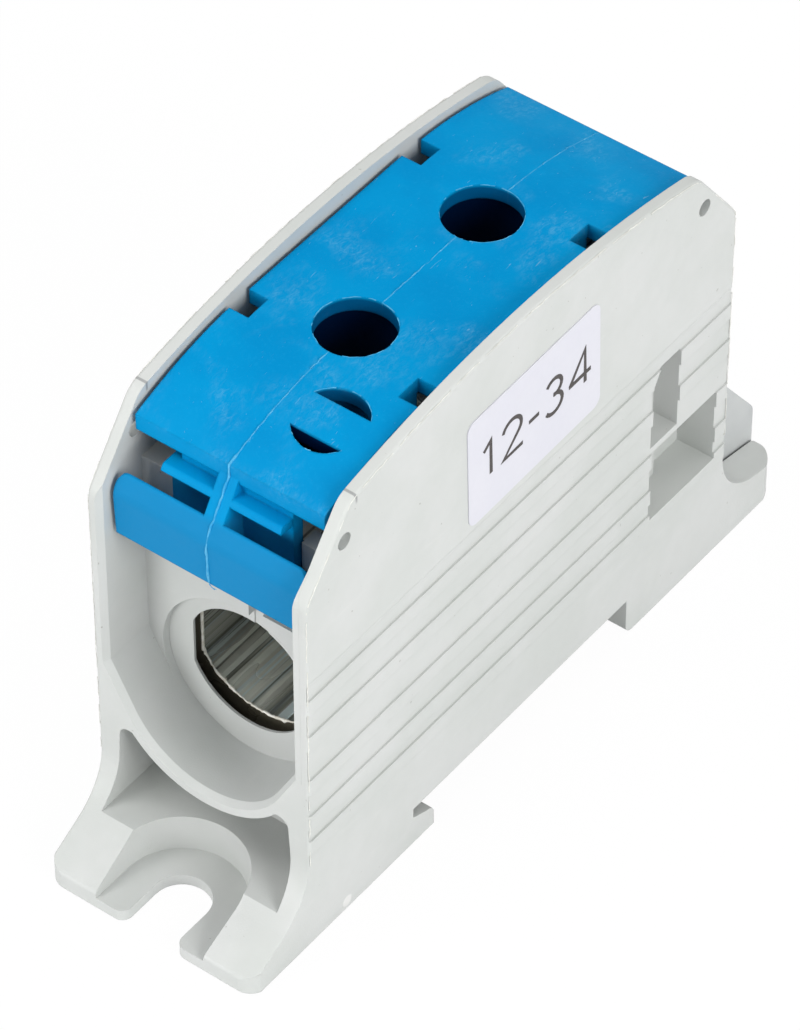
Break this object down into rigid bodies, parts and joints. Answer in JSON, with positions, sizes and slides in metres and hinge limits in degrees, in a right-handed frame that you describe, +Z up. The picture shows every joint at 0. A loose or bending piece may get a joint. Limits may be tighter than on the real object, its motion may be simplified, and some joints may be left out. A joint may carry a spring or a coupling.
{
  "type": "cable terminal clamp",
  "caption": "Single-pole feed-through cable terminal clamp: sprung rail latch, set screws over a serrated passage, clip-on cover with access holes.",
  "frame": {"origin": "on the plane of the base, at mid-width and at the middle of the 70 mm body, on the centre line of the rail recess", "axes": "+X across the width to the labelled side, +Y along the cables to the rear end with the latch, +Z up"},
  "size_m": [0.0267, 0.0913, 0.0593],
  "materials": {
    "housing": "satin moulded",
    "cover": "satin moulded",
    "tinned_metal": "tinned",
    "screw_metal": "tinned",
    "latch": "satin moulded",
    "spring_steel": "drawn wire",
    "label": "satin film"
  },
  "bodies": {
    "housing_body": {"housing": "housing", "terminal_block": "tinned_metal", "latch_spring": "spring_steel", "side_label": "label"},
    "cover_body": {"cover": "cover"},
    "screw_front_body": {"clamp_screw_front": "screw_metal"},
    "screw_rear_body": {"clamp_screw_rear": "screw_metal"},
    "latch_body": {"rail_latch": "latch"}
  },
  "joints": [
    {"name": "cover_lift", "type": "slide", "parent": "housing_body", "child": "cover_body", "axis": [0, 0, 1], "range_m": [0, 0.022]},
    {"name": "screw_front_advance", "type": "slide", "parent": "housing_body", "child": "screw_front_body", "axis": [0, 0, 1], "range_m": [-0.01, 0.0036]},
    {"name": "screw_rear_advance", "type": "slide", "parent": "housing_body", "child": "screw_rear_body", "axis": [0, 0, 1], "range_m": [-0.01, 0.0036]},
    {"name": "latch_pull", "type": "slide", "parent": "housing_body", "child": "latch_body", "axis": [0, 1, 0], "range_m": [0, 0.003], "stiffness_N_per_m": 400, "springref_m": -0.004, "deforming": ["latch_spring"]}
  ]
}
